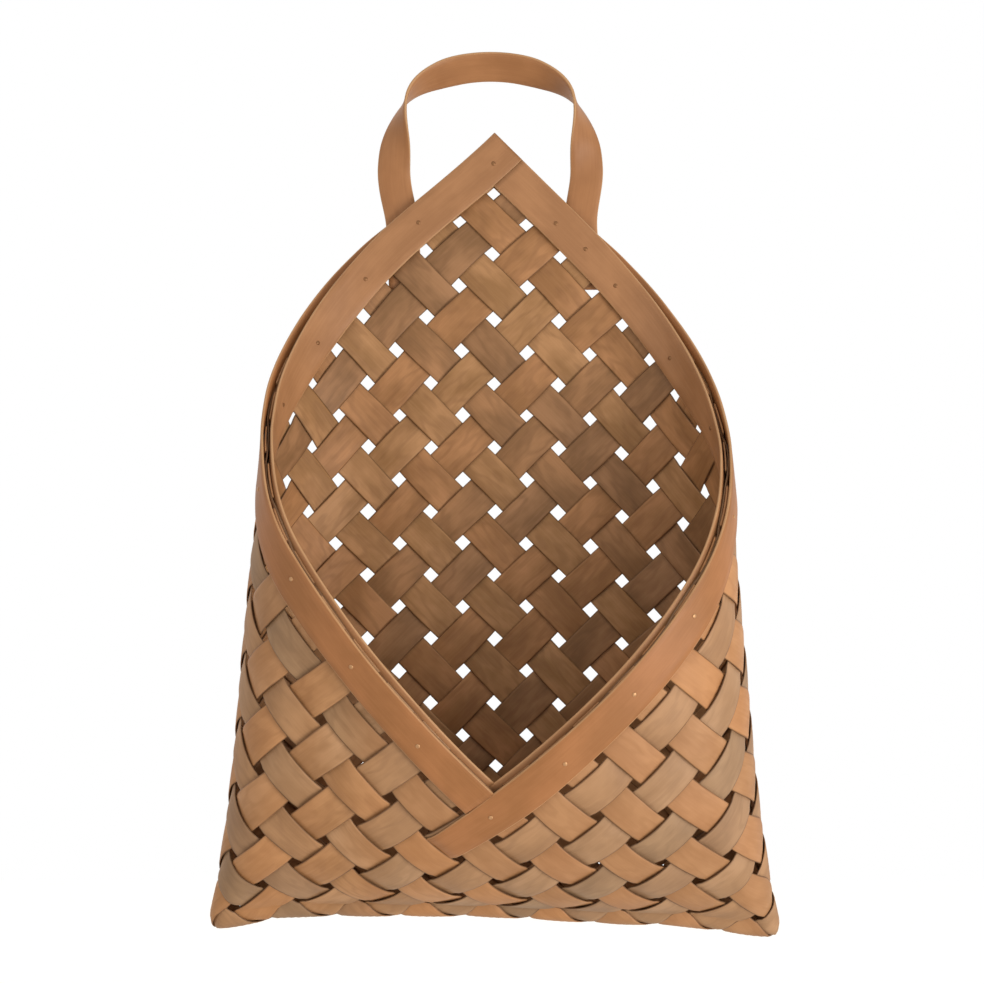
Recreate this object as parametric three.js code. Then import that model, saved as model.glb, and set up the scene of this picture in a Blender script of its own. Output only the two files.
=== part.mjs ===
// Hanging envelope basket: flat wood splints plaited on the bias into a pouch, two pairs of rim
// bands that follow the mat's upper edges, and a bent splint handle held under the outer bands.
// Millimetres, +Z up, the front towards -Y. The shapes are worked out with the back in the plane
// Y = 0 and the bottom fold at Z = 0, and the basket is then placed with its hanging point, the top of
// the handle's middle line, at the origin.
import * as THREE from 'three';

// Splints and weave
const pitch = 26; // from one splint's middle line to the next
const splintWidth = 20;
const splintThickness = 1;
const layGap = 0.4; // clearance between splints that lie on each other
const longSplints = 8; // in each set, folded under the bottom
const shortSplints = 1; // in each set, turning close to a bottom corner

// Pouch form
const foldRadius = 8.5; // bottom fold, middle of the mat
const tipShare = 0.985; // width at the very bottom for a width of 1 above the fold: rounds the tips
const mouthCorner = 53; // side bend at the height of the mouth
const mouthRise = 310; // length of the mat from the fold up to the mouth's form
const foldArc = THREE.MathUtils.degToRad(1.5); // half angle of the front's bow at the fold
const mouthArc = THREE.MathUtils.degToRad(37); // half angle of the front's bow at the mouth
const peakCorner = 65; // side bend towards the peak, where the mat's edges curl in
const peakArc = THREE.MathUtils.degToRad(40); // half angle of the bow there
const [curlStart, curlEnd] = [130, 320]; // lengths of the mat over the fold between which they do
const frontSkew = 0.09; // the front lies askew: its drop for each millimetre to the right
const skewRise = 140; // length of the mat from the fold up to the full skew
const [leftDroop, rightDroop] = [3, 7]; // how far the bottom tips hang under the middle of the fold
const droopStart = 90; // from the basket's middle to where the fold starts to droop
const droopRise = 120; // length of the mat from the fold up to where the droop ends

// Rim bands
const outerBandWidth = 21;
const innerBandWidth = 25;
const bandThickness = 1.6;
const bandGap = 0.6; // clearance of bands and legs to the splints
const buttGap = 0.5; // between a band's end and the band that it meets
const tailLength = 68; // right outer band below the front crossing
const tailWidth = 18.5; // at its end, which is tucked under a splint
const tuckLane = 2; // which right splint that is, counted down from the crossing

// Handle
const handleWidth = 19;
const handleThickness = 1.8;
const legSpread = 52; // leg's middle line from the basket's middle, at the rim
const legTuck = 40; // leg's length under the rim
const shoulderSpread = 56; // widest place of the handle's middle line
const shoulderRise = 31; // its height over the point where the leg leaves the rim
const archRise = 88.7; // top of the middle line over that point
const archTilt = THREE.MathUtils.degToRad(46); // rise of the splint's width at the top of the arch
const [upperSpread, upperRise] = [0.86, 0.8]; // upper shoulder, shares of shoulderSpread and archRise
const [crownSpread, crownRise] = [0.57, 0.95]; // beside the top, shares of legSpread and archRise
const [turnStart, turnEnd] = [0.42, 0.72]; // where the splint turns edge on, shares of leg end to top
const tiltStart = 0.68; // where it starts to tilt up to the arch

// Counts and lengths that follow from the sizes above
const row = pitch / Math.SQRT2; // height of half a lattice row
const around = 2 * (longSplints + shortSplints); // lanes round the pouch
const turnSum = 2 * longSplints; // a lane and its return lane add up to this
const foldRow = turnSum + around / 2; // half rows from the peak to the fold
const halfGirth = around * row;
const quarterFold = (foldRadius * Math.PI) / 2; // mat taken up by half of the bottom fold
const peakHeight = foldRow * row - quarterFold + foldRadius;
const halfSplint = splintWidth / 2 / pitch; // in pitches, as are all lane coordinates
const outerHalf = outerBandWidth / 2 / pitch;
const innerHalf = innerBandWidth / 2 / pitch;
const halfTail = tailWidth / 2 / pitch;
const weaveLift = (splintThickness + layGap) / 2; // middle of an upper splint over the mat
const weaveFace = weaveLift + splintThickness / 2;
const bandLift = weaveFace + bandGap + bandThickness / 2;
const legLift = weaveFace + bandGap + handleThickness / 2;
const tuckStart = around + tuckLane; // along the right rim's lane
const tuckLift = bandLift - 2 * weaveLift;
const coverLift = tuckLift + (bandThickness + splintThickness) / 2 + bandGap;
const rimHeight = peakHeight - legSpread; // where a leg's middle line leaves the rim

const lerp = THREE.MathUtils.lerp;
const clamp = THREE.MathUtils.clamp;
const ease = (x) => 1 - (1 - x) ** 3;
const smooth = (x) => x * x * (3 - 2 * x);

// Section across the pouch at a length of mat over the fold: a straight back, a side bend and a
// bowed front, all of one girth. The point lies at arc length s from mid back.
function sectionPoint(s, length) {
  const rise = clamp(length / mouthRise, 0, 1);
  const curl = smooth(clamp((length - curlStart) / (curlEnd - curlStart), 0, 1));
  const corner = lerp(lerp(foldRadius, mouthCorner, ease(rise)), peakCorner, curl);
  const bow = lerp(lerp(foldArc, mouthArc, rise), peakArc, curl);
  const frontRadius = corner + (halfGirth - Math.PI * corner) / (Math.sin(bow) + bow);
  const flat = (frontRadius - corner) * Math.sin(bow);
  const bend = corner * (Math.PI - bow);
  const along = Math.abs(s);
  const side = s < 0 ? -1 : 1;
  if (along <= flat) return { x: s, y: 0 };
  if (along <= flat + bend) {
    const turn = (along - flat) / corner;
    return { x: side * (flat + corner * Math.sin(turn)), y: corner * (Math.cos(turn) - 1) };
  }
  const start = Math.PI - bow;
  const turn = start + (along - flat - bend) / frontRadius;
  const x = flat + corner * Math.sin(start) + frontRadius * (Math.sin(turn) - Math.sin(start));
  const y = corner * (Math.cos(start) - 1) + frontRadius * (Math.cos(turn) - Math.cos(start));
  return { x: side * x, y };
}

// Height gained along an upright line of the mat. The mat doesn't stretch, so where the front
// leans out the same length of mat rises less.
function heightAlong(s, length) {
  const steps = 24;
  const step = length / steps;
  let height = 0;
  let last = sectionPoint(s, 0);
  for (let k = 1; k <= steps; k += 1) {
    const next = sectionPoint(s, k * step);
    const lean = (next.x - last.x) ** 2 + (next.y - last.y) ** 2;
    height += Math.sqrt(Math.max(step ** 2 - lean, 0));
    last = next;
  }
  return height;
}

// Middle surface of the mat. Lane coordinates a and b count pitches from the peak: a grows down
// to the left of the back, b down to the right. Past the fold a lane goes on as its return lane.
function matPoint(a, b) {
  if (a + b > foldRow) return matPoint(turnSum - a, turnSum + around - b);
  let s = (b - a) * row;
  if (s > halfGirth) s -= 2 * halfGirth;
  if (s < -halfGirth) s += 2 * halfGirth;
  const drop = (foldRow - a - b) * row;
  if (drop < quarterFold) {
    const turn = drop / foldRadius;
    const section = sectionPoint(s, 0);
    const x = section.x * lerp(tipShare, 1, Math.sin(turn));
    const y = -foldRadius + (section.y + foldRadius) * Math.sin(turn);
    const height = foldRadius * (1 - Math.cos(turn));
    return new THREE.Vector3(x, y, height - skewDrop(x, s, drop) - tipDrop(x, drop));
  }
  const { x, y } = sectionPoint(s, drop - quarterFold);
  const height = foldRadius + heightAlong(s, drop - quarterFold);
  return new THREE.Vector3(x, y, height - skewDrop(x, s, drop) - tipDrop(x, drop));
}

// How far the skewed front hangs lower than a level one. The back and the bottom fold are level.
function skewDrop(x, s, drop) {
  const [sideStart, sideEnd] = [0.35, 0.75]; // shares of the way from mid back to mid front
  const share = Math.abs(s) / halfGirth;
  const onFront = smooth(clamp((share - sideStart) / (sideEnd - sideStart), 0, 1));
  return frontSkew * x * onFront * smooth(clamp(drop / skewRise, 0, 1));
}

// How far the mat hangs lower near the two bottom tips
function tipDrop(x, drop) {
  const beyond = (Math.abs(x) - droopStart) / (halfGirth / 2 - droopStart);
  const droop = (x < 0 ? leftDroop : rightDroop) * smooth(clamp(beyond, 0, 1));
  return droop * (1 - smooth(clamp(drop / droopRise, 0, 1)));
}

// Outward normal of the mat, from short steps along both lanes
function matNormal(a, b) {
  const step = 0.02;
  const alongA = matPoint(a + step, b).sub(matPoint(a - step, b));
  const alongB = matPoint(a, b + step).sub(matPoint(a, b - step));
  return alongB.cross(alongA).normalize();
}

// Closed strip through a row of rings. A ring lists the lane coordinates across the strip and the
// lift of its middle over the mat. Neighbouring rings may differ in their number of points. The
// facets' diagonals run down the pouch on every splint, so that crossing splints stay parallel.
function stripGeometry(rings, thickness, flip) {
  const positions = [];
  const faces = [];
  const tops = [];
  const bottoms = [];
  const triangle = (p, q, r) => (flip ? faces.push(p, r, q) : faces.push(p, q, r));
  for (const { lanes, lift } of rings) {
    const top = [];
    const bottom = [];
    for (const [a, b] of lanes) {
      const point = matPoint(a, b);
      const normal = matNormal(a, b);
      const upper = point.clone().addScaledVector(normal, lift + thickness / 2);
      const lower = point.clone().addScaledVector(normal, lift - thickness / 2);
      top.push(positions.push(upper) - 1);
      bottom.push(positions.push(lower) - 1);
    }
    tops.push(top);
    bottoms.push(bottom);
  }
  const zip = (near, far, turn) => {
    let i = 0;
    let j = 0;
    while (i < near.length - 1 || j < far.length - 1) {
      const nextNear = (i + 1) / (near.length - 1);
      const nextFar = (j + 1) / (far.length - 1);
      if (j < far.length - 1 && (i === near.length - 1 || nextFar <= nextNear)) {
        if (turn) triangle(near[i], far[j + 1], far[j]);
        else triangle(near[i], far[j], far[j + 1]);
        j += 1;
      } else {
        if (turn) triangle(near[i], near[i + 1], far[j]);
        else triangle(near[i], far[j], near[i + 1]);
        i += 1;
      }
    }
  };
  const quad = (p, q, r, s) => {
    triangle(p, q, r);
    triangle(p, r, s);
  };
  for (let k = 0; k + 1 < rings.length; k += 1) {
    zip(tops[k], tops[k + 1], false);
    zip(bottoms[k], bottoms[k + 1], true);
    quad(tops[k][0], bottoms[k][0], bottoms[k + 1][0], tops[k + 1][0]);
    const [t, u] = [tops[k].at(-1), tops[k + 1].at(-1)];
    const [v, w] = [bottoms[k].at(-1), bottoms[k + 1].at(-1)];
    quad(t, u, w, v);
  }
  const first = [tops[0], bottoms[0]];
  const last = [tops.at(-1), bottoms.at(-1)];
  for (let c = 0; c + 1 < first[0].length; c += 1) {
    quad(first[0][c], first[0][c + 1], first[1][c + 1], first[1][c]);
  }
  for (let c = 0; c + 1 < last[0].length; c += 1) {
    quad(last[0][c], last[1][c], last[1][c + 1], last[0][c + 1]);
  }
  const geometry = new THREE.BufferGeometry();
  geometry.setFromPoints(positions);
  geometry.setIndex(faces);
  const plain = geometry.toNonIndexed();
  plain.computeVertexNormals();
  return plain;
}

// Angle through which the mat's normal turns within one crossing
function crossingBend(i, j) {
  const normals = [matNormal(i + 0.5, j + 0.5)];
  for (const p of [-halfSplint, halfSplint]) {
    for (const q of [-halfSplint, halfSplint]) normals.push(matNormal(i + 0.5 + p, j + 0.5 + q));
  }
  let widest = 0;
  for (const n of normals) for (const m of normals) widest = Math.max(widest, n.angleTo(m));
  return widest;
}

// How finely a crossing is divided each way: one facet where the mat is flat, more where it bends.
function crossingGrid(i, j) {
  const [slight, strong] = [0.62, 1.6]; // radians
  const bend = crossingBend(i, j);
  if (bend < slight) return 1;
  return bend < strong ? 2 : 3;
}

const spread = (from, to, count) =>
  Array.from({ length: count + 1 }, (unused, k) => from + ((to - from) * k) / count);
const across = (lane, half, count) => spread(lane + 0.5 - half, lane + 0.5 + half, count);
const place = (first, lane, along) => (first ? [lane, along] : [along, lane]);

// Rings of one splint over all its crossings. Splints of the first set lie outside
// at odd crossings, splints of the second set at even ones.
function crossingRings(first, lane, crossings) {
  const rings = [];
  for (let k = 0; k < crossings; k += 1) {
    const [i, j] = first ? [lane, k] : [k, lane];
    const count = crossingGrid(i, j);
    const outside = ((i + j) % 2 === 1) === first;
    const covers = !first && lane === tuckLane && k === around;
    const lift = covers ? coverLift : outside ? weaveLift : -weaveLift;
    for (const along of across(k, halfSplint, count)) {
      const lanes = across(lane, halfSplint, count).map((l) => place(first, l, along));
      rings.push({ lanes, lift });
    }
  }
  return rings;
}

// Rings of a rim band along the mat's edge. The outer bands rise over the handle's leg, and the
// right one runs on past the front crossing as a tail that narrows and goes under a splint.
function bandRings(first, from, to, side) {
  const outer = side > 0;
  const legPlace = 0.5 + legSpread / row;
  const legRoom = 0.3; // in pitches, as is the ramp up to the leg
  const legHold = (handleWidth / 2 / row + 2 * outerHalf) / 2 + legRoom;
  const legRamp = 1.4;
  const straight = 0.02; // radians
  const nearest = 0.05; // rings this close to an end are left out
  const places = [from];
  for (let k = Math.ceil(from - 0.5); k + 0.5 < to; k += 1) {
    const [i, j] = first ? [0, k] : [k, 0];
    const atLeg = outer && Math.abs(k + 0.5 - legPlace) < legHold + legRamp + 0.5;
    const bends = [-1, 0, 1].some((n) => crossingBend(i && i + n, j && j + n) > straight);
    const steps = bends || atLeg ? across(k, halfSplint, crossingGrid(i, j)) : [];
    for (const p of steps) if (p > from + nearest && p < to - nearest) places.push(p);
  }
  places.push(to);
  return places.map((along) => {
    const cell = Math.floor(along);
    const count = crossingGrid(first ? 0 : cell, first ? cell : 0);
    const tail = outer ? clamp((along - around) / tuckLane, 0, 1) : 0;
    const half = outer ? lerp(outerHalf, halfTail, tail) : innerHalf;
    const lanes = across(0, half, count).map((l) => place(first, l, along));
    const near = clamp((legHold + legRamp - Math.abs(along - legPlace)) / legRamp, 0, 1);
    const bump = outer ? smooth(near) * (handleThickness + bandGap) : 0;
    return { lanes, lift: along > tuckStart ? tuckLift : side * (bandLift + bump) };
  });
}

// Bent splint handle. Its legs lie flat against the back, it turns edge on at the shoulders, and
// the arch shows its under face to the front. The rear edge stays in the plane of the legs.
function handleGeometry() {
  const half = [
    [legSpread, -legTuck],
    [legSpread, -legTuck / 2],
    [legSpread, 0],
    [shoulderSpread, shoulderRise],
    [shoulderSpread * upperSpread, archRise * upperRise],
    [legSpread * crownSpread, archRise * crownRise],
  ];
  const whole = [...half.map(([x, z]) => [-x, z]), [0, archRise], ...half.toReversed()];
  const path = new THREE.CatmullRomCurve3(
    whole.map(([x, z]) => new THREE.Vector3(x, legLift, rimHeight + z)),
  );
  const steps = 34;
  const rings = [];
  for (let k = 0; k <= steps; k += 1) {
    const part = 1 - Math.abs((2 * k) / steps - 1); // 0 at a leg's end, 1 at the top of the arch
    const inward = Math.sign(steps - 2 * k);
    const middle = path.getPointAt(k / steps);
    const tangent = path.getTangentAt(k / steps);
    // Direction across the splint: inward on the legs, forward at the shoulder, up on the arch
    const toFront = smooth(clamp((part - turnStart) / (turnEnd - turnStart), 0, 1));
    const toTop = smooth(clamp((part - tiltStart) / (1 - tiltStart), 0, 1)) * archTilt;
    const width = new THREE.Vector3(inward * (1 - toFront), -toFront * Math.cos(toTop), Math.sin(toTop));
    width.addScaledVector(tangent, -width.dot(tangent)).normalize();
    const face = new THREE.Vector3().crossVectors(width, tangent);
    middle.addScaledVector(new THREE.Vector3(0, width.y, 0), handleWidth / 2);
    const corners = [
      [1, 1],
      [1, -1],
      [-1, -1],
      [-1, 1],
    ];
    const ring = corners.map(([w, f]) => {
      const point = middle.clone().addScaledVector(width, (w * handleWidth) / 2);
      return point.addScaledVector(face, (f * handleThickness) / 2);
    });
    rings.push(ring);
  }
  return ringSolid(rings);
}

// Closed solid through rings of four corners each
function ringSolid(rings) {
  const faces = [];
  const corner = (k, c) => k * 4 + (c % 4);
  for (let k = 0; k + 1 < rings.length; k += 1) {
    for (let c = 0; c < 4; c += 1) {
      const [p, q, r, s] = [corner(k, c), corner(k, c + 1), corner(k + 1, c + 1), corner(k + 1, c)];
      faces.push(p, q, r, p, r, s);
    }
  }
  const end = rings.length - 1;
  faces.push(corner(0, 0), corner(0, 2), corner(0, 1), corner(0, 0), corner(0, 3), corner(0, 2));
  faces.push(corner(end, 0), corner(end, 1), corner(end, 2));
  faces.push(corner(end, 0), corner(end, 2), corner(end, 3));
  const geometry = new THREE.BufferGeometry();
  geometry.setFromPoints(rings.flat());
  geometry.setIndex(faces);
  const plain = geometry.toNonIndexed();
  plain.computeVertexNormals();
  return plain;
}

const basket = new THREE.Group();
const addPiece = (name, geometry, colour, roughness = 0.7) => {
  const material = new THREE.MeshStandardMaterial({ color: colour, roughness, metalness: 0 });
  const mesh = new THREE.Mesh(geometry, material);
  mesh.name = name;
  basket.add(mesh);
};

// Each splint starts at the rim, goes round the side, under the bottom and back up to the rim.
const splintColours = [0xb07a50, 0xa06c46, 0x8f6a50, 0xba8458];
const addSplint = (name, first, lane, crossings) => {
  const geometry = stripGeometry(crossingRings(first, lane, crossings), splintThickness, !first);
  addPiece(name, geometry, splintColours[(lane + (first ? 0 : 2)) % splintColours.length]);
};
for (const first of [true, false]) {
  const set = first ? 'left' : 'right';
  for (let k = 0; k < longSplints; k += 1) {
    addSplint(`${set}_long_splint_${k + 1}`, first, k, turnSum + around);
  }
  for (let k = 0; k < shortSplints; k += 1) {
    addSplint(`${set}_short_splint_${k + 1}`, first, turnSum + k, turnSum);
  }
}

// Rim bands: the left pair runs to the peak and the right pair butts against it there. At the
// front crossing the right pair goes through and the left pair butts against it.
const bandColour = 0xbb7f50;
const butt = buttGap / pitch;
const bandEnds = (half) => ({
  edge: 0.5 - half,
  peakButt: 0.5 + half + butt,
  crossingButt: around + 0.5 - half - butt,
  stop: around + 0.5 + half,
});
const [inner, outer] = [bandEnds(innerHalf), bandEnds(outerHalf)];
const tailStop = around + outer.edge + tailLength / pitch;
const bands = [
  ['left_inner_band', false, inner.edge, inner.crossingButt, -1],
  ['right_inner_band', true, inner.peakButt, inner.stop, -1],
  ['left_outer_band', false, outer.edge, outer.crossingButt, 1],
  ['right_outer_band', true, outer.peakButt, tailStop, 1],
];
for (const [name, first, from, to, side] of bands) {
  const rings = bandRings(first, from, to, side);
  addPiece(name, stripGeometry(rings, bandThickness, !first), bandColour, 0.6);
}

addPiece('handle', handleGeometry(), bandColour, 0.6);

const hangDepth = legLift - (Math.cos(archTilt) * handleWidth) / 2;
basket.position.set(0, -hangDepth, -rimHeight - archRise);

export default basket;
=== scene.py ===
import math
import bpy
import numpy as np
from mathutils import Matrix, Vector


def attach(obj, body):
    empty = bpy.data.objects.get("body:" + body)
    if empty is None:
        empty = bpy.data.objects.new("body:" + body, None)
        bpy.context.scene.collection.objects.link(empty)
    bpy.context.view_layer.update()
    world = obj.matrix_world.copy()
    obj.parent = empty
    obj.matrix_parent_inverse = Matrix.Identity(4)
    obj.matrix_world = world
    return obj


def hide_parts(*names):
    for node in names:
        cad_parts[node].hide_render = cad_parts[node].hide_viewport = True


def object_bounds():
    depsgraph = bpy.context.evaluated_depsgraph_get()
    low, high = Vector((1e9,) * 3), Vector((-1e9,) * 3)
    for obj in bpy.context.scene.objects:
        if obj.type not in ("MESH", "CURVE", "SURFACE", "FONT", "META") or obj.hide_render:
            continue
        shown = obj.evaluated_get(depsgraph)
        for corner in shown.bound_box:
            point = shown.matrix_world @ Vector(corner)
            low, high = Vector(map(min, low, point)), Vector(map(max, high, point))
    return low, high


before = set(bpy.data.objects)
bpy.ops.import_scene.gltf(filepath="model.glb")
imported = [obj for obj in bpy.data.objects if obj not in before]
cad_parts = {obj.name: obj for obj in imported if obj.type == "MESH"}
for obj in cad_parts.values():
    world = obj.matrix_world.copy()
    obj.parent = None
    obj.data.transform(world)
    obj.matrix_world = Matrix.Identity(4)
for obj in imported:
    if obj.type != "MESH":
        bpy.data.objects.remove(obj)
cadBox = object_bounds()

mm = 0.001

# The mat: one sheet of bias lanes folded into the pouch, in the sizes of the frame. Lane coordinates a and b count
# pitches from the peak: a grows down to the left of the back, b down to the right. A place on the pouch is s, the way
# round from the middle of the back, and drop, the way down to the bottom fold.
mat = {
    "pitch": 26 * mm,
    "splintWidth": 20 * mm,
    "longSplints": 8,
    "shortSplints": 1,
    "foldRadius": 8.5 * mm,
    "tipShare": 0.985,
    "mouthCorner": 53 * mm,
    "mouthRise": 310 * mm,
    "openPower": 3,
    "foldArc": math.radians(1.5),
    "mouthArc": math.radians(37),
    "peakCorner": 65 * mm,
    "peakArc": math.radians(40),
    "curl": (130 * mm, 320 * mm),
    "frontSkew": 0.09,
    "skewSides": (0.35, 0.75),
    "skewRise": 140 * mm,
    "droop": (3 * mm, 7 * mm),  # left and right bottom tip
    "droopStart": 90 * mm,
    "droopRise": 120 * mm,
    "heightSteps": 24,
    "normalStep": 0.02,
    "place": np.array([0.0, 3.8993 * mm, -491.4676 * mm]),  # of the fold under the back, seen from the hanging point
}
row = mat["pitch"] / math.sqrt(2)
around = 2 * (mat["longSplints"] + mat["shortSplints"])
turnSum = 2 * mat["longSplints"]
foldRow = turnSum + around / 2
halfGirth = around * row
quarterFold = mat["foldRadius"] * math.pi / 2
laneMiddle = 0.5  # a splint or band lies half a pitch into its lane


# Eased share: 0 at start, 1 at stop, level beyond them
def ease(value, start, stop):
    share = np.clip((value - start) / (stop - start), 0, 1)
    return share * share * (3 - 2 * share)


def mix(low, high, share):
    return low + (high - low) * share


# Level cut through the pouch at a length up from the fold: flat back, round sides, bowed front
def sectionPoint(s, length):
    upShare = np.clip(length / mat["mouthRise"], 0, 1)
    curl = ease(length, *mat["curl"])
    opened = 1 - (1 - upShare) ** mat["openPower"]
    corner = mix(mix(mat["foldRadius"], mat["mouthCorner"], opened), mat["peakCorner"], curl)
    bow = mix(mix(mat["foldArc"], mat["mouthArc"], upShare), mat["peakArc"], curl)
    frontRadius = corner + (halfGirth - math.pi * corner) / (np.sin(bow) + bow)
    flat = (frontRadius - corner) * np.sin(bow)
    bend = corner * (math.pi - bow)
    along = np.abs(s)
    side = np.where(s < 0, -1.0, 1.0)
    turn = (along - flat) / corner
    xBend = flat + corner * np.sin(turn)
    yBend = corner * (np.cos(turn) - 1)
    bendEnd = math.pi - bow
    turn = bendEnd + (along - flat - bend) / frontRadius
    xFront = flat + corner * np.sin(bendEnd) + frontRadius * (np.sin(turn) - np.sin(bendEnd))
    yFront = corner * (np.cos(bendEnd) - 1) + frontRadius * (np.cos(turn) - np.cos(bendEnd))
    onBack = along <= flat
    onBend = along <= flat + bend
    x = np.where(onBack, along, np.where(onBend, xBend, xFront))
    y = np.where(onBack, 0.0, np.where(onBend, yBend, yFront))
    return side * x, y


# Height reached over a length of the mat: what the length has left after its lean in or out
def heightAlong(s, length):
    steps = mat["heightSteps"]
    height = np.zeros_like(s)
    lastX, lastY = sectionPoint(s, np.zeros_like(s))
    for k in range(1, steps + 1):
        nextX, nextY = sectionPoint(s, length * k / steps)
        lean = (nextX - lastX) ** 2 + (nextY - lastY) ** 2
        height += np.sqrt(np.maximum((length / steps) ** 2 - lean, 0))
        lastX, lastY = nextX, nextY
    return height


# Lanes that go on past the bottom fold come up again on the other side of the pouch
def placeOnPouch(a, b):
    past = a + b > foldRow
    a, b = np.where(past, turnSum - a, a), np.where(past, turnSum + around - b, b)
    s = (b - a) * row
    s = np.where(s > halfGirth, s - 2 * halfGirth, np.where(s < -halfGirth, s + 2 * halfGirth, s))
    return s, (foldRow - a - b) * row


# Hand work: the back sags to the right, the rim bulges beside the handle and draws in at the sides, and the bottom
# edge stands higher left of its middle. -1 is the left side, 1 the right.
handWork = {
    "backSides": (0.55, 0.3),
    "sag": 8.6 * mm,
    "sagReach": 121 * mm,
    "sagRise": 150 * mm,
    "bulge": {-1: 6 * mm, 1: 1.5 * mm},
    "bulgeCentre": (60 * mm, 380 * mm),
    "bulgeReach": 95 * mm,
    "waist": 4.6 * mm,
    "waistHeight": {-1: 275 * mm, 1: 310 * mm},
    "waistStart": 40 * mm,
    "waistReach": 80 * mm,
    "foldLift": 4.8 * mm,
    "foldLiftLeft": (-165 * mm, -115 * mm),
    "foldLiftRight": (95 * mm, -25 * mm),
    "foldLiftRise": 120 * mm,
}


def handMade(x, z, s, drop):
    onBack = ease(np.abs(s) / halfGirth, *handWork["backSides"])
    toRight = np.maximum(x, 0) / handWork["sagReach"]
    moveX = np.zeros_like(x)
    moveZ = -handWork["sag"] * toRight ** 2 * onBack * ease(drop, 0, handWork["sagRise"])
    across, up = handWork["bulgeCentre"]
    for side, size in handWork["bulge"].items():
        fromBulge = np.hypot(side * x - across, z - up)
        bulge = size * ease(fromBulge, handWork["bulgeReach"], 0) * onBack / math.sqrt(2)
        toSide = ease(side * x, handWork["waistStart"], halfGirth / 2)
        fromWaist = np.abs(z - handWork["waistHeight"][side])
        waist = handWork["waist"] * toSide * ease(fromWaist, handWork["waistReach"], 0)
        moveX += side * (bulge - waist)
        moveZ += bulge
    lifted = ease(x, *handWork["foldLiftLeft"]) * ease(x, *handWork["foldLiftRight"])
    moveZ += handWork["foldLift"] * lifted * ease(z, handWork["foldLiftRise"], 0)
    return x + moveX, z + moveZ


def matPoint(a, b):
    s, drop = placeOnPouch(a, b)
    inFold = drop < quarterFold
    above = np.maximum(drop - quarterFold, 0)
    x, y = sectionPoint(s, above)
    z = mat["foldRadius"] + heightAlong(s, above)
    turn = np.clip(drop / mat["foldRadius"], 0, math.pi / 2)
    share = np.where(inFold, np.sin(turn), 1.0)
    x = x * mix(mat["tipShare"], 1, share)
    y = np.where(inFold, -mat["foldRadius"] + (y + mat["foldRadius"]) * share, y)
    z = np.where(inFold, mat["foldRadius"] * (1 - np.cos(turn)), z)
    onFront = ease(np.abs(s) / halfGirth, *mat["skewSides"])
    z = z - mat["frontSkew"] * x * onFront * ease(drop, 0, mat["skewRise"])
    droop = np.where(x < 0, *mat["droop"]) * ease(np.abs(x), mat["droopStart"], halfGirth / 2)
    z = z - droop * ease(drop, mat["droopRise"], 0)
    x, z = handMade(x, z, s, drop)
    return np.stack([x, y, z], axis=-1) + mat["place"]


def matNormal(a, b):
    step = mat["normalStep"]
    alongA = matPoint(a + step, b) - matPoint(a - step, b)
    alongB = matPoint(a, b + step) - matPoint(a, b - step)
    normal = np.cross(alongB, alongA)
    return normal / np.linalg.norm(normal, axis=-1, keepdims=True)


# The weave. Sides are shares of the half girth from the middle of the back, rows count up from the bottom fold.
weave = {
    "thickness": 0.85 * mm,
    "backLift": 0.98 * mm,
    "frontLift": 1.35 * mm,
    "shape": 0.6,
    "edge": 0.12,
    "columns": 7,
    "perPitch": 9,
    "frontSides": (0.5, 0.7),
    "frontRim": (0.9, 2.1),
    "frontRows": (0, 3),
    "frontWiden": 0.008,
    "lowerSides": (0.5, 0.4),
    "lowerBegin": (0, 0.8),
    "lowerEnd": (5.2, 3),
    "lowerShift": 0.13,
    "lowerWiden": 0.095,
    "lowerWidenPower": 3,
    # Painted sheen over the front: the sides where it shows, its turn from right to left, and its swing
    "sheenSides": (0.42, 0.57),
    "sheenTurn": (1.12, 1.37),
    "sheenSwing": (0.42, -0.33),  # right and middle of the front, its left side
    "laneWobble": 0.022,
    "widthWobble": 0.018,
    "widthSeed": 40,
    "grainStep": 3.7,  # metres of wood between one splint's grain and the next one's
}
evenSheen = 0.5
thinEdge = 0.45  # share of a strip's thickness that is left at its softened edges


# Share of the front's bulge at a place: nothing on the back, along the rim and at the bottom tips
def frontShare(a, b):
    s, drop = placeOnPouch(a, b)
    rows = foldRow - drop / row
    fromRim = np.minimum(rows - s / row, rows + s / row) / 2
    onFront = ease(np.abs(s) / halfGirth, *weave["frontSides"])
    return onFront * ease(fromRim, *weave["frontRim"]) * ease(drop / row, *weave["frontRows"])


# Share of the lower back, whose lanes are shifted and widened so that its holes lie between the front's
def lowerShare(a, b):
    s, drop = placeOnPouch(a, b)
    onBack = ease(np.abs(s) / halfGirth, *weave["lowerSides"])
    return onBack * ease(drop / row, *weave["lowerBegin"]) * ease(drop / row, *weave["lowerEnd"])


# Painted sheen of the wood fibres: over the front's right and middle the first set is greyer, at its left side the
# second, and the other set warmer
def sheenTone(first, a, b):
    s, drop = placeOnPouch(a, b)
    fromBack = np.abs(s) / halfGirth
    fromRight = np.where(s > 0, fromBack, 2 - fromBack)
    swing = mix(*weave["sheenSwing"], ease(fromRight, *weave["sheenTurn"]))
    return evenSheen + ease(fromBack, *weave["sheenSides"]) * swing * (1 if first else -1)


# Lift of a splint's middle over the mat. The first set is outside at odd crossings, the second set at even ones.
def splintLift(first, lane, a, b):
    along = b if first else a
    wave = -np.cos(math.pi * (along - laneMiddle + lane))
    wave = np.sign(wave) * np.abs(wave) ** weave["shape"]
    height = mix(weave["backLift"], weave["frontLift"], frontShare(a, b))
    return wave * height * (1 if first else -1)


# Slow waver of a hand-cut strip
def wobble(along, seed, size):
    waves = ((0.83, 0.7), (1.71, 1.9), (2.57, 3.1))
    return size * sum(np.sin(along * often + phase * (seed + 1)) for often, phase in waves) / len(waves)


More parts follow.
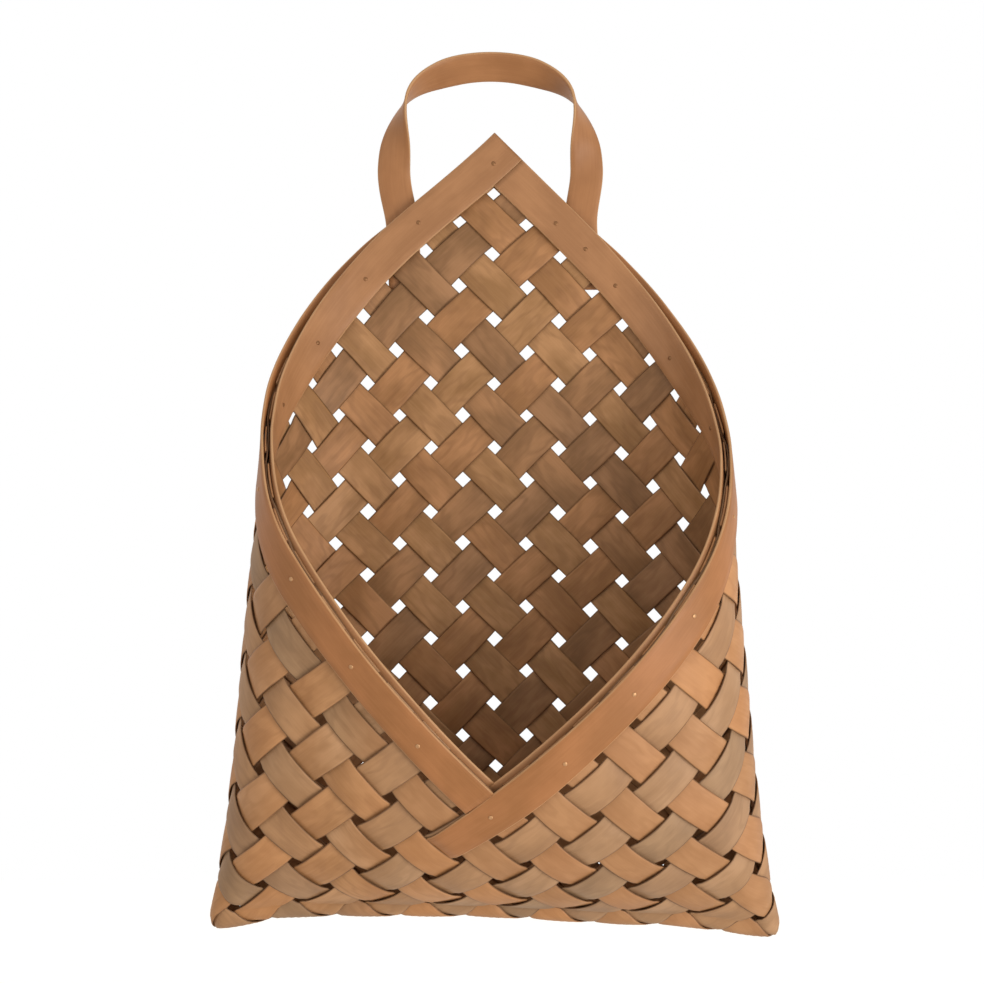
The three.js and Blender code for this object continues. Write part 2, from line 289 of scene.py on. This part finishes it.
# Closed ribbon with softened edges. along and middle are its middle line in lane coordinates, lift gives its height
# over the mat, and cut is the dictionary with its columns and edge.
def ribbon(name, first, along, middle, half, lift, thickness, cut, materials, grainStart):
    inner = np.linspace(cut["edge"] - 1, 1 - cut["edge"], cut["columns"])
    shares = np.concatenate([[-1.0], inner, [1.0]])
    across = middle[:, None] + half[:, None] * shares[None, :]
    alongs = np.repeat(along[:, None], len(shares), axis=1)
    a, b = (across, alongs) if first else (alongs, across)
    points = matPoint(a, b)
    normals = matNormal(a, b)
    lifts = lift(a, b)
    softened = np.concatenate([[thinEdge], np.ones(cut["columns"]), [thinEdge]])
    halfThick = np.broadcast_to(thickness, along.shape)[:, None] / 2 * softened
    upper = points + normals * (lifts + halfThick)[..., None]
    lower = points + normals * (lifts - halfThick)[..., None]
    rings = np.concatenate([upper, lower[:, ::-1]], axis=1)
    # Painted sheen tone at each point of the strip
    sheenTones = sheenTone(first, a, b)
    sheenTones = np.concatenate([sheenTones, sheenTones[:, ::-1]], axis=1)
    shares = np.concatenate([shares, shares[::-1]])
    return closedMesh(name, rings, shares, along, half, sheenTones, materials, grainStart, first)


# Strip from its rings, each one going over the upper face and back over the lower face. UV layer grain holds metres
# along and across the strip, layer edge the share of the way to an edge and the painted sheen tone.
def closedMesh(name, rings, shares, along, half, sheenTones, materials, grainStart, flip):
    ringCount, size = rings.shape[:2]
    verts = rings.reshape(-1, 3)
    faceWidth = size // 2
    faces = []
    sides = []
    for k in range(ringCount - 1):
        for c in range(size):
            d = (c + 1) % size
            sides.append(0 if c < faceWidth or len(materials) == 1 else 1)
            quad = (k * size + c, k * size + d, (k + 1) * size + d, (k + 1) * size + c)
            faces.append(quad[::-1] if flip else quad)
    last = (ringCount - 1) * size
    for c in range(faceWidth - 1):
        start = (c, size - 1 - c, size - 2 - c, c + 1)
        faces.append(start[::-1] if flip else start)
        end = tuple(last + v for v in (c, c + 1, size - 2 - c, size - 1 - c))
        faces.append(end[::-1] if flip else end)
    sides += [0] * (len(faces) - len(sides))
    mesh = bpy.data.meshes.new(name)
    mesh.from_pydata([tuple(v) for v in verts], [], faces)
    loopVerts = np.zeros(len(mesh.loops), dtype=np.int32)
    mesh.loops.foreach_get("vertex_index", loopVerts)
    lengths = np.repeat(along * mat["pitch"], size) + grainStart
    widths = (half[:, None] * mat["pitch"] * shares[None, :]).reshape(-1)
    toEdge = np.tile(np.abs(shares), ringCount)
    for layer, values in (("grain", (lengths, widths)), ("edge", (toEdge, sheenTones.reshape(-1)))):
        coords = np.stack([value[loopVerts] for value in values], axis=-1)
        mesh.uv_layers.new(name=layer).data.foreach_set("uv", coords.astype(np.float32).reshape(-1))
    mesh.polygons.foreach_set("use_smooth", [True] * len(faces))
    mesh.polygons.foreach_set("material_index", sides)
    for material in materials:
        mesh.materials.append(material)
    mesh.update()
    piece = bpy.data.objects.new(name, mesh)
    bpy.context.scene.collection.objects.link(piece)
    return piece


def linear(hexColour):
    channels = [int(hexColour[k:k + 2], 16) / 255 for k in (1, 3, 5)]
    return tuple(c / 12.92 if c <= 0.04045 else ((c + 0.055) / 1.055) ** 2.4 for c in channels) + (1.0,)


# Adds a node with its settings, then its inputs by name or number: a socket is linked, a value is set
def addNode(tree, kind, inputs=None, **settings):
    node = tree.nodes.new(kind)
    for key, value in settings.items():
        setattr(node, key, value)
    for key, value in (inputs or {}).items():
        if isinstance(value, bpy.types.NodeSocket):
            tree.links.new(value, node.inputs[key])
        else:
            node.inputs[key].default_value = value
    return node


# Sliced ash, stained: growth rings cut flat make a broad figure, pores make streaks along the strip, and the stain
# lies in clouds. Sizes are along and across the strip. Real pores are about 0.3 mm wide, too fine to show here, so the
# streaks are drawn about 1 mm wide.
veneer = {
    "figure": {"size": (41.6667 * mm, 16.129 * mm), "detail": 2.5, "roughness": 0.5},
    "streaks": {"size": (33.3333 * mm, 1.1111 * mm), "detail": 3.0, "roughness": 0.65},
    "clouds": {"size": (35.7143 * mm, 21.7391 * mm), "detail": 3.0, "roughness": 0.55},
    "stained": (0.38, 0.6),
    "lateWood": (-0.2, 1.0),
    "darkPores": (0.46, 0.8),
    "palePores": (0.5, 0.2),
    "roughPores": (0.2, 0.8),
    "roughSwing": (-0.06, 0.08),
    "poreMiddle": 0.5,
    "frayedEdge": 0.12,
    "poreRelief": 0.7,
    "figureRelief": 0.15,
    "reliefDepth": 0.12 * mm,
    "specular": 0.32,
}


def woodMaterial(name, wood):
    material = bpy.data.materials.new(name)
    material.use_nodes = True
    tree = material.node_tree
    shader = tree.nodes["Principled BSDF"]
    grain = addNode(tree, "ShaderNodeUVMap", uv_map="grain").outputs["UV"]
    edge = addNode(tree, "ShaderNodeUVMap", uv_map="edge").outputs["UV"]
    edge = addNode(tree, "ShaderNodeSeparateXYZ", {"Vector": edge}).outputs
    patterns = {}
    for pattern in ("figure", "streaks", "clouds"):
        along, across = veneer[pattern]["size"]
        scaled = addNode(tree, "ShaderNodeMapping", {"Vector": grain, "Scale": (1 / along, 1 / across, 1)})
        patterns[pattern] = addNode(tree, "ShaderNodeTexNoise", {
            "Vector": scaled.outputs["Vector"], "Scale": 1.0,
            "Detail": veneer[pattern]["detail"], "Roughness": veneer[pattern]["roughness"],
        }).outputs["Fac"]
    rings = addNode(tree, "ShaderNodeMath", {0: patterns["figure"], 1: wood["rings"]}, operation="MULTIPLY")
    figure = addNode(tree, "ShaderNodeMath", {0: rings.outputs["Value"]}, operation="SINE").outputs["Value"]
    streaks = patterns["streaks"]
    fray = addNode(tree, "ShaderNodeMath", {0: streaks, 1: veneer["poreMiddle"]}, operation="SUBTRACT")
    border = addNode(tree, "ShaderNodeMath", {
        0: fray.outputs["Value"], 1: veneer["frayedEdge"], 2: edge["X"]}, operation="MULTIPLY_ADD")

    # Each layer lays its colour over the one before, up to its share where its pattern is strongest
    layers = [
        (patterns["clouds"], veneer["stained"], 1.0, wood["stain"]),
        (figure, veneer["lateWood"], wood["figure"], wood["late"]),
        (streaks, veneer["darkPores"], wood["streak"], wood["dark"]),
        (streaks, veneer["palePores"], wood["streak"], wood["pale"]),
    ]
    # Painted sheen: grey on the set whose fibres would catch the light, warm on the other set
    if "grey" in wood:
        layers.append((edge["Y"], (evenSheen, 1.0), wood["greyShare"], wood["grey"]))
        layers.append((edge["Y"], (evenSheen, 0.0), wood["sheenWarmShare"], wood["warm"]))
    # Edge layer: dark along the splints' edges, partly stain and partly painted shade of the gaps between strips; pale
    # along the bands' and handle's edges, partly wear and partly painted highlight
    layers.append((border.outputs["Value"], (wood["edgeStart"], 1.0), wood["edgeShare"], wood["edge"]))
    colour = linear(wood["base"])
    for value, (low, high), share, tint in layers:
        spread = addNode(tree, "ShaderNodeMapRange", {
            "Value": value, "From Min": low, "From Max": high, "To Max": share})
        laid = addNode(tree, "ShaderNodeMix", {
            0: spread.outputs["Result"], 6: colour, 7: linear(tint)}, data_type="RGBA")
        colour = laid.outputs[2]
    tree.links.new(colour, shader.inputs["Base Color"])

    low, high = veneer["roughPores"]
    smoother, rougher = (wood["rough"] + swing for swing in veneer["roughSwing"])
    rough = addNode(tree, "ShaderNodeMapRange", {
        "Value": streaks, "From Min": low, "From Max": high, "To Min": smoother, "To Max": rougher})
    tree.links.new(rough.outputs["Result"], shader.inputs["Roughness"])
    pores = addNode(tree, "ShaderNodeMath", {0: streaks, 1: veneer["poreRelief"]}, operation="MULTIPLY")
    relief = addNode(tree, "ShaderNodeMath", {
        0: figure, 1: veneer["figureRelief"], 2: pores.outputs["Value"]}, operation="MULTIPLY_ADD")
    bump = addNode(tree, "ShaderNodeBump", {
        "Height": relief.outputs["Value"], "Strength": wood["relief"], "Distance": veneer["reliefDepth"]})
    tree.links.new(bump.outputs["Normal"], shader.inputs["Normal"])
    shader.inputs["Specular IOR Level"].default_value = veneer["specular"]
    return material


# Ash splint, matt: each strip has a paler outer face and a browner inner face; the inner face's darker colour is
# painted shade of the pouch's inside. Its cut edges took the stain dark and also carry painted shade of the gaps
# between strips, which draws the weave. Grey and warm are a painted sheen on the front.
splintWoods = {
    "ashSplintTan": {"base": "#b98c64", "stain": "#a3774f", "late": "#936a45", "dark": "#835c3a", "pale": "#c89d76"},
    "ashSplintUmber": {"base": "#a7805b", "stain": "#916c4a", "late": "#836141", "dark": "#735336", "pale": "#b7906b"},
    "ashSplintRusset": {"base": "#b8875b", "stain": "#a3744a", "late": "#936641", "dark": "#825735", "pale": "#c8996e"},
    "ashSplintBrown": {"base": "#ac815b", "stain": "#966d4a", "late": "#876140", "dark": "#765235", "pale": "#bc916b"},
}
# Inner faces, darker and browner than the outer ones: painted shade of the pouch's inside
shadedInnerWoods = {
    "ashInnerShadedTan": {"base": "#b28357", "stain": "#946a40", "late": "#835b37", "dark": "#704c2a", "pale": "#c89a6c"},
    "ashInnerShadedUmber": {"base": "#a0744e", "stain": "#835d3a", "late": "#765233", "dark": "#644429", "pale": "#b48963"},
    "ashInnerShadedRusset": {"base": "#b07d51", "stain": "#94673e", "late": "#835936", "dark": "#704a29", "pale": "#c69364"},
    "ashInnerShadedBrown": {"base": "#a7784f", "stain": "#8a623d", "late": "#7b5635", "dark": "#69472a", "pale": "#bc8e63"},
}
splintFinish = {
    "rings": 34.0, "figure": 0.36, "streak": 0.14, "rough": 0.6, "relief": 0.2,
    # Dark edge colour: partly stain on the cut edges, partly painted shade of the gaps between strips
    "edge": "#4a3018", "edgeStart": 0.93, "edgeShare": 0.7,
    # Painted sheen colours: grey where the fibres would catch the light, warm on the other set
    "grey": "#8f7860", "greyShare": 0.36, "warm": "#c38451", "sheenWarmShare": 0.4,
}
for name, wood in (splintWoods | shadedInnerWoods).items():
    woodMaterial(name, wood | splintFinish)

# Ash bands and handle, satin: straighter figure, redder stain, and pale edges, partly worn by hands and partly a
# painted highlight, which draw thin bright lines along the rim
bandWoods = {
    "ashBand": {"base": "#a56d41", "stain": "#976338", "late": "#8a5932", "dark": "#784a27", "pale": "#b57f51"},
    # The inner bands' and the handle's woods are paler than the outer bands' wood as painted light
    "ashRimLit": {"base": "#ac7a51", "stain": "#9f6f48", "late": "#926440", "dark": "#7d5233", "pale": "#bc8c63"},
    "ashHandleLit": {"base": "#ab764b", "stain": "#9e6b42", "late": "#91613b", "dark": "#7c5030", "pale": "#bb885d"},
}
bandFinish = {
    "rings": 10.0, "figure": 0.3, "streak": 0.16, "rough": 0.5, "relief": 0.15,
    # Pale edge colour: partly wear, partly painted highlight
    "edge": "#cda274", "edgeStart": 0.93, "edgeShare": 0.6,
}
for name, wood in bandWoods.items():
    woodMaterial(name, wood | bandFinish)
print("woods ready")

pieces = []
facePairs = list(zip(splintWoods, shadedInnerWoods))


# Outer wood and inner wood of a splint, the inner one darkened as painted shade, spread so that neighbours seldom
# match
def splintFaces(seed):
    return [bpy.data.materials[wood] for wood in facePairs[(seed * 7 + 3 * (seed // 5)) % len(facePairs)]]


def pieceName(node):
    start, *words = node.split("_")
    return start + "".join(word.title() for word in words)


# Splints of the two sets, each from rim to rim
halfShare = mat["splintWidth"] / 2 / mat["pitch"]
for first in (True, False):
    side = "left" if first else "right"
    for kind, firstLane, number, crossings in (
        ("long", 0, mat["longSplints"], turnSum + around),
        ("short", turnSum, mat["shortSplints"], turnSum),
    ):
        for k in range(number):
            node = f"{side}_{kind}_splint_{k + 1}"
            lane = firstLane + k
            seed = lane * 2 + (0 if first else 1)
            start, stop = laneMiddle - halfShare, crossings - laneMiddle + halfShare
            along = np.linspace(start, stop, crossings * weave["perPitch"])
            lanes = np.full_like(along, lane + laneMiddle)
            spots = (lanes, along) if first else (along, lanes)
            lower = lowerShare(*spots)
            middle = lanes + wobble(along, seed, weave["laneWobble"])
            middle += weave["lowerShift"] * lower * (1 if first else -1)
            half = halfShare + wobble(along, seed + weave["widthSeed"], weave["widthWobble"])
            half += weave["frontWiden"] * frontShare(*spots)
            half += weave["lowerWiden"] * lower ** weave["lowerWidenPower"]
            piece = ribbon(
                pieceName(node), first, along, middle, half, lambda a, b: splintLift(first, lane, a, b),
                weave["thickness"], weave, splintFaces(seed), seed * weave["grainStep"],
            )
            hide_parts(node)
            pieces.append(piece)
print("splints ready")

# Rim bands. The left pair covers the peak, the right pair goes through at the front crossing, and the right outer band
# ends in a tail that narrows and goes under a splint. Raises are shares of a pitch, ramps are places along the rim.
band = {
    "outerWidth": 21 * mm,
    "innerWidth": 22.5 * mm,
    "innerRaise": (0.03, 0.06),
    "innerRamp": (8, 12),
    "outerRaise": 0.15,
    "outerRamps": ((1.5, 4.0), (11.0, 8.0)),
    "thickness": 1.6 * mm,
    "lift": 2.6 * mm,
    "butt": 0.1 * mm,
    "tail": 68 * mm,
    "tailWidth": 18.5 * mm,
    "tailThickness": 0.9 * mm,
    "tailGap": 0.1 * mm,
    "tuckLane": 2,
    "tuckRamp": (-0.35, 0.2),
    "columns": 7,
    "edge": 0.06,
    "perPitch": 8,
    "legSpread": 52 * mm,
    "legRise": 2.4 * mm,
    "legHold": 1.0,
    "legRamp": 1.4,
    "widthWobble": 0.006,
    "grainStep": 2.9,
}
outerHalf = band["outerWidth"] / 2 / mat["pitch"]
innerHalf = band["innerWidth"] / 2 / mat["pitch"]
tailHalf = band["tailWidth"] / 2 / mat["pitch"]
butt = band["butt"] / mat["pitch"]
backRaise, frontRaise = band["innerRaise"]
frontEnd = around + laneMiddle
tailStop = frontEnd - outerHalf + band["tail"] / mat["pitch"]
legPlace = laneMiddle + band["legSpread"] / row


# Lift of a band's middle over the mat. side is 1 for an outer band, which rises over the handle's leg, and -1 for an
# inner one.
def bandLift(first, side, along, a, b):
    if side < 0:
        return np.full_like(along, -band["lift"])
    fromLeg = np.abs(along - legPlace)
    lift = band["lift"] + ease(fromLeg, band["legHold"] + band["legRamp"], band["legHold"]) * band["legRise"]
    if not first:
        return lift
    tucked = ease(along - around - band["tuckLane"], *band["tuckRamp"])
    onSplint = splintLift(True, 0, a, b) + (weave["thickness"] + band["tailThickness"]) / 2 + band["tailGap"]
    return mix(lift, onSplint, tucked)


for node, first, start, stop, side, seed in (
    ("left_inner_band", False, laneMiddle - innerHalf - backRaise, frontEnd - innerHalf - frontRaise - butt, -1, 3),
    ("right_inner_band", True, laneMiddle + innerHalf - backRaise + butt, frontEnd + innerHalf, -1, 7),
    ("left_outer_band", False, laneMiddle - outerHalf, frontEnd - outerHalf - butt, 1, 11),
    ("right_outer_band", True, laneMiddle + outerHalf + butt, tailStop, 1, 17),
):
    along = np.linspace(start, stop, round((stop - start) * band["perPitch"]))
    if side < 0:
        # The inner bands take the paler wood, painted light
        wood, full = "ashRimLit", innerHalf
        raised = mix(backRaise, frontRaise, ease(along, *band["innerRamp"]))
    else:
        wood, full = "ashBand", outerHalf
        rise, fall = (ease(along, *ramp) for ramp in band["outerRamps"])
        raised = band["outerRaise"] * rise * fall
    hasTail = side > 0 and first
    tail = np.clip((along - around) / band["tuckLane"], 0, 1) if hasTail else np.zeros_like(along)
    half = mix(full, tailHalf, tail) + wobble(along, seed, band["widthWobble"])
    thickness = mix(band["thickness"], band["tailThickness"], ease(tail, 0, 1))
    piece = ribbon(
        pieceName(node), first, along, laneMiddle - raised, half,
        lambda a, b: bandLift(first, side, b if first else a, a, b),
        thickness, band, [bpy.data.materials[wood]], seed * band["grainStep"],
    )
    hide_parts(node)
    pieces.append(piece)
print("bands ready")

# Handle: one flat splint whose legs lie against the back and whose arch shows its under face to the front. Its points
# are out from the middle and up from the rim; turn and tilt are shares of the way from a leg's end to the top.
handle = {
    "width": 19 * mm,
    "thickness": 1.8 * mm,
    "edge": 0.5 * mm,
    "columns": 7,
    "legSpread": 52 * mm,
    "legTuck": 40 * mm,
    "legLift": 2.7 * mm,
    "shoulder": (56 * mm, 31 * mm),
    "upper": (47.5 * mm, 70.5 * mm),
    "crown": (28 * mm, 84 * mm),
    "archRise": 88.7 * mm,
    "archTilt": math.radians(46),
    "turn": (0.36, 0.76),
    "tilt": (0.6, 0.88),
    "lean": -2.5 * mm,
    "rings": 180,
    "samples": 60,
    "grainStart": 71.3,
}
peakHeight = foldRow * row - quarterFold + mat["foldRadius"]
rimHeight = peakHeight - handle["legSpread"]


# Smooth curve through the points, cut into even steps
def evenPath(points, count):
    ends = [2 * points[0] - points[1], *points, 2 * points[-1] - points[-2]]
    samples = []
    for before, start, stop, after in zip(ends, ends[1:], ends[2:], ends[3:]):
        pairs = ((before, start), (start, stop), (stop, after))
        inGap, gap, outGap = (np.linalg.norm(q - p) ** 0.5 for p, q in pairs)
        leave = ((start - before) / inGap - (stop - before) / (inGap + gap) + (stop - start) / gap) * gap
        reach = ((stop - start) / gap - (after - start) / (gap + outGap) + (after - stop) / outGap) * gap
        for t in np.linspace(0, 1, handle["samples"], endpoint=False):
            samples.append(start * (2 * t**3 - 3 * t**2 + 1) + leave * (t**3 - 2 * t**2 + t)
                           + stop * (3 * t**2 - 2 * t**3) + reach * (t**3 - t**2))
    samples = np.array([*samples, points[-1]])
    lengths = np.concatenate([[0], np.cumsum(np.linalg.norm(np.diff(samples, axis=0), axis=1))])
    wanted = np.linspace(0, lengths[-1], count)
    return np.stack([np.interp(wanted, lengths, samples[:, k]) for k in range(3)], axis=-1), wanted


def handleMesh():
    spread, tuck = handle["legSpread"], handle["legTuck"]
    leg = [(spread, -tuck), (spread, -tuck / 2), (spread, 0), handle["shoulder"], handle["upper"], handle["crown"]]
    whole = [(-x, z) for x, z in leg] + [(0, handle["archRise"])] + leg[::-1]
    points = [np.array([x, handle["legLift"], rimHeight + z]) for x, z in whole]
    path, lengths = evenPath(points, handle["rings"] + 1)
    tangents = np.gradient(path, axis=0)
    tangents /= np.linalg.norm(tangents, axis=1, keepdims=True)
    share = lengths / lengths[-1]
    part = 1 - np.abs(2 * share - 1)
    inward = np.sign(0.5 - share)
    toFront = ease(part, *handle["turn"])
    toTop = ease(part, *handle["tilt"]) * handle["archTilt"]
    width = np.stack([inward * (1 - toFront), -toFront * np.cos(toTop), np.sin(toTop)], axis=-1)
    width -= tangents * np.sum(width * tangents, axis=1, keepdims=True)
    width /= np.linalg.norm(width, axis=1, keepdims=True)
    face = np.cross(width, tangents)
    halfWide, halfThick = handle["width"] / 2, handle["thickness"] / 2
    middle = path + mat["place"]
    middle[:, 0] += handle["lean"] * ease(part, 0, handle["turn"][0])
    middle[:, 1] += width[:, 1] * halfWide
    flat = np.linspace(handle["edge"] - halfWide, halfWide - handle["edge"], handle["columns"])
    out = np.concatenate([[-halfWide], flat, [halfWide]])[:, None]
    thick = halfThick * np.concatenate([[thinEdge], np.ones(handle["columns"]), [thinEdge]])[:, None]
    across = middle[:, None] + width[:, None] * out
    rings = np.concatenate([across + face[:, None] * thick, (across - face[:, None] * thick)[:, ::-1]], axis=1)
    shares = np.concatenate([out, out[::-1]])[:, 0] / halfWide
    half = np.full(len(lengths), halfWide / mat["pitch"])
    # The handle carries no painted sheen
    sheenTones = np.full(rings.shape[:2], evenSheen)
    # The handle's wood is paler than the outer bands' wood as painted light
    return closedMesh("handleSplint", rings, shares, lengths / mat["pitch"], half, sheenTones,
                      [bpy.data.materials["ashHandleLit"]], handle["grainStart"], True)


handlePiece = handleMesh()
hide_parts("handle")
pieces.append(handlePiece)
print("handle ready")

# Brads: small domed pin heads through the bands, at about every second crossing. Places are along the rim, True for
# the right bands. The profile gives the head's radius and height as shares, up to the tip.
brad = {
    "radius": 1.25 * mm,
    "rise": 0.45 * mm,
    "segments": 16,
    "profile": ((1.0, -0.25), (1.0, 0.25), (0.86, 0.62), (0.5, 0.92)),
    "outer": {
        True: (2.6, 4.5, 6.5, 8.5, 10.6, 12.65, 14.56, 16.55, 18.55),
        False: (2.5, 4.6, 6.5, 8.6, 10.5, 12.55, 14.5, 16.42),
    },
    "inner": {
        True: (2.42, 3.27, 4.3, 6.4, 8.5, 10.4, 12.5, 14.5, 16.6),
        False: (0.55, 2.66, 4.4, 6.3, 8.2, 10.4, 12.5, 14.5, 16.5),
    },
    "sway": 0.05,
    "swayTurn": 2.3,
    "metallic": 0.55,
    "tarnishSize": 1.1111 * mm,
    "tarnishDetail": 2.0,
    "rough": (0.32, 0.5),
}


def bradMesh():
    verts, faces, kinds = [], [], []
    count = brad["segments"]
    angles = [2 * math.pi * n / count for n in range(count)]
    following = [(n, (n + 1) % count) for n in range(count)]
    for kind, (layer, side) in enumerate((("outer", 1), ("inner", -1))):
        for first, places in brad[layer].items():
            for k, along in enumerate(places):
                across = laneMiddle + brad["sway"] * math.sin(k * brad["swayTurn"] + along)
                a, b = (np.array([lane]) for lane in ((across, along) if first else (along, across)))
                normal = matNormal(a, b)[0]
                lift = bandLift(first, side, np.array([along]), a, b)[0] + side * band["thickness"] / 2
                seat = Vector(matPoint(a, b)[0] + normal * lift)
                axis = Vector(normal * side)
                turn = axis.to_track_quat("Z", "Y")
                low = bottom = len(verts)
                for radius, height in brad["profile"]:
                    out, up = radius * brad["radius"], height * brad["rise"]
                    verts += [seat + turn @ Vector((math.cos(t) * out, math.sin(t) * out, up)) for t in angles]
                verts.append(seat + axis * brad["rise"])
                for high in range(bottom + count, bottom + count * len(brad["profile"]), count):
                    faces += [(low + n, low + m, high + m, high + n) for n, m in following]
                    low = high
                faces += [(low + n, low + m, len(verts) - 1) for n, m in following]
                faces.append(tuple(bottom + n for n in reversed(range(count))))
                kinds += [kind] * (len(faces) - len(kinds))
    mesh = bpy.data.meshes.new("brads")
    mesh.from_pydata([tuple(v) for v in verts], [], faces)
    mesh.polygons.foreach_set("use_smooth", [True] * len(faces))
    mesh.polygons.foreach_set("material_index", kinds)
    mesh.update()
    return mesh


# Pressed brass, tarnished: a small warm glint on the outer bands, almost the wood's own brown on the inner ones. The
# tarnish hides about half of the metal and is drawn in spots of about 1 mm.
def bradMaterial(name, bright, dull):
    material = bpy.data.materials.new(name)
    material.use_nodes = True
    tree = material.node_tree
    shader = tree.nodes["Principled BSDF"]
    shader.inputs["Metallic"].default_value = brad["metallic"]
    place = addNode(tree, "ShaderNodeTexCoord").outputs["Object"]
    tarnish = addNode(tree, "ShaderNodeTexNoise", {
        "Vector": place, "Scale": 1 / brad["tarnishSize"], "Detail": brad["tarnishDetail"]}).outputs["Fac"]
    tone = addNode(tree, "ShaderNodeMix", {0: tarnish, 6: linear(bright), 7: linear(dull)}, data_type="RGBA")
    tree.links.new(tone.outputs[2], shader.inputs["Base Color"])
    glossy, dulled = brad["rough"]
    gloss = addNode(tree, "ShaderNodeMapRange", {"Value": tarnish, "To Min": glossy, "To Max": dulled})
    tree.links.new(gloss.outputs["Result"], shader.inputs["Roughness"])
    return material


bradPiece = bpy.data.objects.new("brads", bradMesh())
bradPiece.data.materials.append(bradMaterial("brassBrad", "#bf946a", "#a07349"))
bradPiece.data.materials.append(bradMaterial("tarnishedBrad", "#94683f", "#6f4a2b"))
bpy.context.scene.collection.objects.link(bradPiece)
pieces.append(bradPiece)
print("brads ready")

for piece in pieces:
    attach(piece, "root")

# Pale paper floor and soft light. The surroundings are white where they are seen, also in metal, and the floor is
# brighter there by its lift, so that it turns white and keeps the object's shadow.
studio = {
    "floor": "#dcd8d0",
    "floorRough": 0.9,
    "floorDrop": 0.5,
    "floorReach": 3.0,
    "lift": 0.56,
    "white": "#ffffff",
    "sky": "#fffdfa",
    "world": 0.67,
    "target": (0, -0.05, -0.25),
    "lights": {
        "keyLight": {"place": (0.95, -0.95, -0.55), "size": 0.9, "power": 12.4},
        "fillLight": {"place": (-1.0, -1.0, 0.0), "size": 1.2, "power": 1.9},
        "topLight": {"place": (0.1, -0.35, 1.0), "size": 0.9, "power": 0.6},
    },
}


# 1 for what the camera sees straight, in a mirror or through glass, 0 for light on the object
def seenRays(tree):
    path = addNode(tree, "ShaderNodeLightPath").outputs
    seen = path["Is Camera Ray"]
    for rays in ("Is Glossy Ray", "Is Transmission Ray"):
        seen = addNode(tree, "ShaderNodeMath", {0: seen, 1: path[rays]}, operation="MAXIMUM").outputs["Value"]
    return seen


scene = bpy.context.scene
world = bpy.data.worlds.new("studio")
world.use_nodes = True
scene.world = world
worldTree = world.node_tree
backdrop = worldTree.nodes["Background"]
backdrop.inputs["Color"].default_value = linear(studio["sky"])
backdrop.inputs["Strength"].default_value = studio["world"]
plain = addNode(worldTree, "ShaderNodeBackground", {"Color": linear(studio["white"]), "Strength": 1.0})
choice = addNode(worldTree, "ShaderNodeMixShader", {
    0: seenRays(worldTree), 1: backdrop.outputs["Background"], 2: plain.outputs["Background"]})
worldTree.links.new(choice.outputs["Shader"], worldTree.nodes["World Output"].inputs["Surface"])

floorHeight = cadBox[0][2] - studio["floorDrop"]
reach = studio["floorReach"]
corners = ((-reach, -reach), (reach, -reach), (reach, reach), (-reach, reach))
floorMesh = bpy.data.meshes.new("floor")
floorMesh.from_pydata([(x, y, floorHeight) for x, y in corners], [], [(0, 1, 2, 3)])
floor = bpy.data.objects.new("floor", floorMesh)
scene.collection.objects.link(floor)
paper = bpy.data.materials.new("studioPaper")
paper.use_nodes = True
paperTree = paper.node_tree
paperShader = paperTree.nodes["Principled BSDF"]
paperShader.inputs["Base Color"].default_value = linear(studio["floor"])
paperShader.inputs["Roughness"].default_value = studio["floorRough"]
paperShader.inputs["Emission Color"].default_value = linear(studio["white"])
glow = addNode(paperTree, "ShaderNodeMath", {0: seenRays(paperTree), 1: studio["lift"]}, operation="MULTIPLY")
paperTree.links.new(glow.outputs["Value"], paperShader.inputs["Emission Strength"])
floorMesh.materials.append(paper)

for name, settings in studio["lights"].items():
    light = bpy.data.lights.new(name, "AREA")
    light.shape = "DISK"
    light.size = settings["size"]
    light.energy = settings["power"]
    lamp = bpy.data.objects.new(name, light)
    lamp.location = settings["place"]
    lamp.rotation_euler = (Vector(studio["target"]) - lamp.location).to_track_quat("-Z", "Y").to_euler()
    scene.collection.objects.link(lamp)

# Camera at the photograph's place
shot = {"place": (0.00366, -1.0731, -0.27977), "focalPixels": 1866.3, "framePixels": 984, "sensor": 36,
        "pitch": 0.0311, "yaw": -0.0048}
cosPitch, sinPitch = math.cos(shot["pitch"]), math.sin(shot["pitch"])
cosYaw, sinYaw = math.cos(shot["yaw"]), math.sin(shot["yaw"])
forward = Vector((cosPitch * sinYaw, cosPitch * cosYaw, sinPitch))
right = Vector((cosYaw, -sinYaw, 0))
up = Vector((-sinPitch * sinYaw, -sinPitch * cosYaw, cosPitch))
camera = bpy.data.cameras.new("camera")
camera.sensor_width = shot["sensor"]
camera.lens = shot["sensor"] * shot["focalPixels"] / shot["framePixels"]
viewer = bpy.data.objects.new("camera", camera)
viewer.matrix_world = Matrix.Translation(shot["place"]) @ Matrix((right, up, -forward)).transposed().to_4x4()
scene.collection.objects.link(viewer)
scene.camera = viewer
scene.view_settings.view_transform = "Standard"
print("studio ready")
